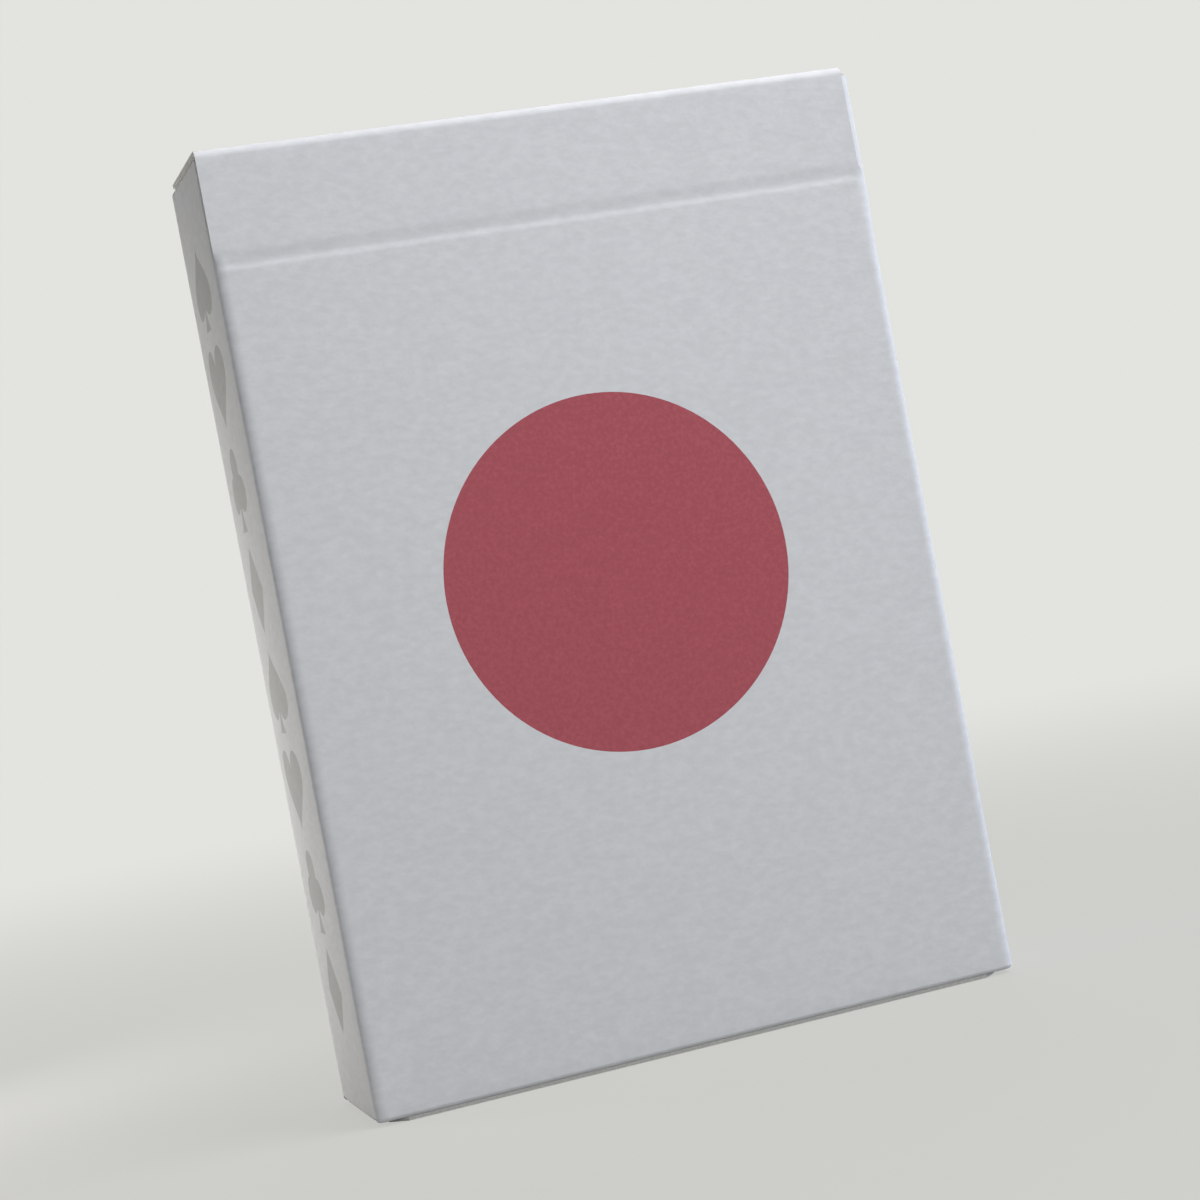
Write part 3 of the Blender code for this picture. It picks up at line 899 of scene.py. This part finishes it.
def backPrints(width, height):
    # an inked panel inside a plain border, with a lattice of lozenges left white in it
    panel = rectangle(width - 2 * card["border"], height - 2 * card["border"])
    across, up = card["lozengeAcross"], card["lozengeUp"]
    counts = np.arange(-card["lozengesOut"], card["lozengesOut"] + 1)
    columns, rows = counts * across, counts * up
    straight = np.stack(np.meshgrid(columns, rows), axis=-1).reshape(-1, 2)
    between = np.stack(np.meshgrid(columns[:-1] + across / 2, rows[:-1] + up / 2), axis=-1).reshape(-1, 2)
    lozenge = card["lozengeShare"] * np.array([(across, 0), (0, up), (-across, 0), (0, -up)])
    places = np.concatenate([straight, between])
    return [([panel], redSlot)] + [([lozenge + place], stockSlot) for place in places]


def makeCard(name, prints, outline, inset, backSheet):
    # Front and back nets on one outline, a chamfer's width in from the edge, joined over the chamfers and the
    # edge. The front looks to -y and the back to +y.
    low, high = cornersOf(name)
    middle, bevel = (low + high) / 2, card["bevel"]
    frontFlat, frontNet, frontInks, frontRing = cutSheet(inset, prints)
    backFlat, backNet, backInks, backRing = backSheet
    rims = [np.insert(outline, 1, y - middle[1], axis=1) for y in (low[1] + bevel, high[1] - bevel)]
    points = np.concatenate([np.insert(frontFlat, 1, low[1] - middle[1], axis=1),
                             np.insert(backFlat, 1, high[1] - middle[1], axis=1), *rims]) + middle
    starts = np.cumsum([0, len(frontFlat), len(backFlat), len(outline)])
    around = np.arange(len(outline))
    rings = [frontRing, starts[2] + around, starts[3] + around, starts[1] + backRing]
    bands = [np.stack([a, b, np.roll(b, -1), np.roll(a, -1)], axis=1) for a, b in zip(rings, rings[1:])]
    faces = [frontNet, backNet[:, ::-1] + starts[1], *bands]
    slots = [np.maximum(frontInks, stockSlot), np.maximum(backInks, stockSlot)]
    slots += [np.full(len(band), slot) for band, slot in zip(bands, (stockSlot, edgeSlot, stockSlot))]
    piece = addPiece(name + "_card", points, faces, slots, cardMaterials, sharpAngle=30)
    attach(piece, "deck")
    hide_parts(name)


def makeDeck():
    low, high = cornersOf("joker_one")
    size = (high - low)[[0, 2]]
    corners = rectangle(*size)
    outline = np.concatenate([roundedCorner(corners[place], corners[place - 1], corners[(place + 1) % 4],
                                            card["corner"], card["cornerFacets"]) for place in range(4)])
    inset = outline * (1 - 2 * card["bevel"] / size)
    backSheet = cutSheet(inset, backPrints(*size))
    makeCard("joker_one", jokerPrints(redSlot), outline, inset, backSheet)
    makeCard("joker_two", jokerPrints(blackSlot), outline, inset, backSheet)
    for suit in suits:
        for rank in ranks:
            makeCard(f"{rank}_of_{suit}", facePrints(rank, suit), outline, inset, backSheet)
    print("deck: 54 cards,", len(backSheet[1]), "faces in each back")


makeDeck()


# stage, light and camera
stage = {
    "floor": 1.2, "rings": (0.1, 0.4, 1.0), "facets": 96,   # radius in metres, and shares of it
    "floorColour": "#949490", "backdrop": "#E3E3DF",
    "shadowFrom": 0.03, "shadowReach": 0.45, "shadowShare": 0.35,   # shadows fade between two radii
    "sky": "#F4F6FA", "skyLight": 0.1,
}


def seenRays(tree):
    # 1 for rays from the camera and for mirror and glass rays, 0 for the rays that light things
    rays = addNode(tree, "ShaderNodeLightPath")
    seen = rays.outputs["Is Camera Ray"]
    for kind in ("Is Glossy Ray", "Is Transmission Ray"):
        either = addNode(tree, "ShaderNodeMath", {0: seen, 1: rays.outputs[kind]}, operation="MAXIMUM")
        seen = either.outputs[0]
    return seen


def makeFloorFinish():
    # a matt pale surface that shows shadows close by and fades into the backdrop's own colour further out
    material = bpy.data.materials.new("matt_pale_floor")
    material.use_nodes = True
    tree = material.node_tree
    tree.nodes.clear()
    place = addNode(tree, "ShaderNodeTexCoord")
    reach = addNode(tree, "ShaderNodeVectorMath", {0: place.outputs["Object"]}, operation="LENGTH")
    fade = addNode(tree, "ShaderNodeMapRange", {
        "Value": reach.outputs["Value"], "From Min": stage["shadowFrom"], "From Max": stage["shadowReach"],
        "To Min": 1 - stage["shadowShare"], "To Max": 1.0}, interpolation_type="SMOOTHSTEP")
    shown = addNode(tree, "ShaderNodeMath", {0: seenRays(tree), 1: fade.outputs[0]}, operation="MULTIPLY")
    matt = addNode(tree, "ShaderNodeBsdfDiffuse", {"Color": hexColour(stage["floorColour"])})
    glow = addNode(tree, "ShaderNodeEmission", {"Color": hexColour(stage["backdrop"]), "Strength": 1.0})
    mix = addNode(tree, "ShaderNodeMixShader", {0: shown.outputs[0], 1: matt.outputs[0], 2: glow.outputs[0]})
    addNode(tree, "ShaderNodeOutputMaterial", {"Surface": mix.outputs[0]})
    return material


def makeFloor():
    # a level disc of rings
    count = stage["facets"]
    circle = np.column_stack([onCircle(fullTurn(count)), np.zeros(count)])
    points = np.concatenate([circle * share * stage["floor"] / mm for share in stage["rings"]])
    here = np.arange(count)
    after = np.roll(here, -1)
    bands = [np.stack([here, count + here, count + after, after], axis=1) + first for first in (0, count)]
    floor = addPiece("floor", points, [here[None], *bands], [np.zeros(1 + 2 * count)], [makeFloorFinish()])


def makeSky():
    # even cool light from all round; the camera and mirror rays see the plain backdrop instead
    world = bpy.data.worlds.new("studio")
    bpy.context.scene.world = world
    world.use_nodes = True
    tree = world.node_tree
    tree.nodes.clear()
    light = addNode(tree, "ShaderNodeBackground",
                    {"Color": hexColour(stage["sky"]), "Strength": stage["skyLight"]})
    shown = addNode(tree, "ShaderNodeBackground", {"Color": hexColour(stage["backdrop"]), "Strength": 1.0})
    mix = addNode(tree, "ShaderNodeMixShader", {0: seenRays(tree), 1: light.outputs[0], 2: shown.outputs[0]})
    addNode(tree, "ShaderNodeOutputWorld", {"Surface": mix.outputs[0]})


# places and sizes in metres, power in watts
lamps = {
    "above": {"place": (0.13, -0.121, 0.4), "aim": (0, 0, 0.05),
              "size": 0.2, "power": 1.46, "colour": "#FFFEFF"},
    "front": {"place": (0.01, -0.30, 0.08), "aim": (0, 0, 0.05),
              "size": 0.12, "power": 0.268, "colour": "#FBFCFF"},
    "right": {"place": (0.66, 0.03, 0.12), "aim": (0, 0, 0.05),
              "size": 0.2, "power": 2.7, "colour": "#CCDFFF"},
    "left": {"place": (-0.09, 0.06, 0.038), "aim": (-0.03, 0, 0.038),
             "size": 0.04, "power": 0.052, "colour": "#FFFAF4"},
    "rear": {"place": (0.2, 0.5, 0.15), "aim": (0, 0, 0.05),
             "size": 0.25, "power": 1.6, "colour": "#FFFFFF"},
}


def makeLamps():
    for name, lamp in lamps.items():
        light = bpy.data.lights.new(name, "AREA")
        light.size = lamp["size"]
        light.energy = lamp["power"]
        light.color = hexColour(lamp["colour"])[:3]
        holder = bpy.data.objects.new(name, light)
        place, aim = Vector(lamp["place"]), Vector(lamp["aim"])
        turn = (aim - place).to_track_quat("-Z", "Y").to_matrix().to_4x4()
        holder.matrix_world = Matrix.Translation(place) @ turn
        holder.visible_camera = False
        bpy.context.scene.collection.objects.link(holder)


camera = {
    "lens": 76.21, "sensor": 36.0,
    "place": (-71.96, -240.28, 44.17),      # mm
    "right": (0.9408, -0.2829, -0.1869),    # the picture's right, up and the way back out of it
    "up": (0.1793, -0.0526, 0.9824),
    "back": (-0.2878, -0.9577, 0.0012),
}


def makeCamera():
    lens = bpy.data.cameras.new("camera")
    lens.lens = camera["lens"]
    lens.sensor_width = camera["sensor"]
    lens.clip_start, lens.clip_end = 0.01, 10.0
    view = bpy.data.objects.new("camera", lens)
    turn = Matrix([camera["right"], camera["up"], camera["back"]]).transposed().to_4x4()
    view.matrix_world = Matrix.Translation(Vector(camera["place"]) * mm) @ turn
    bpy.context.scene.collection.objects.link(view)
    bpy.context.scene.camera = view


makeFloor()
makeSky()
makeLamps()
makeCamera()
bpy.context.scene.view_settings.view_transform = "Standard"
print("stage: floor, sky,", len(lamps), "lamps and camera")
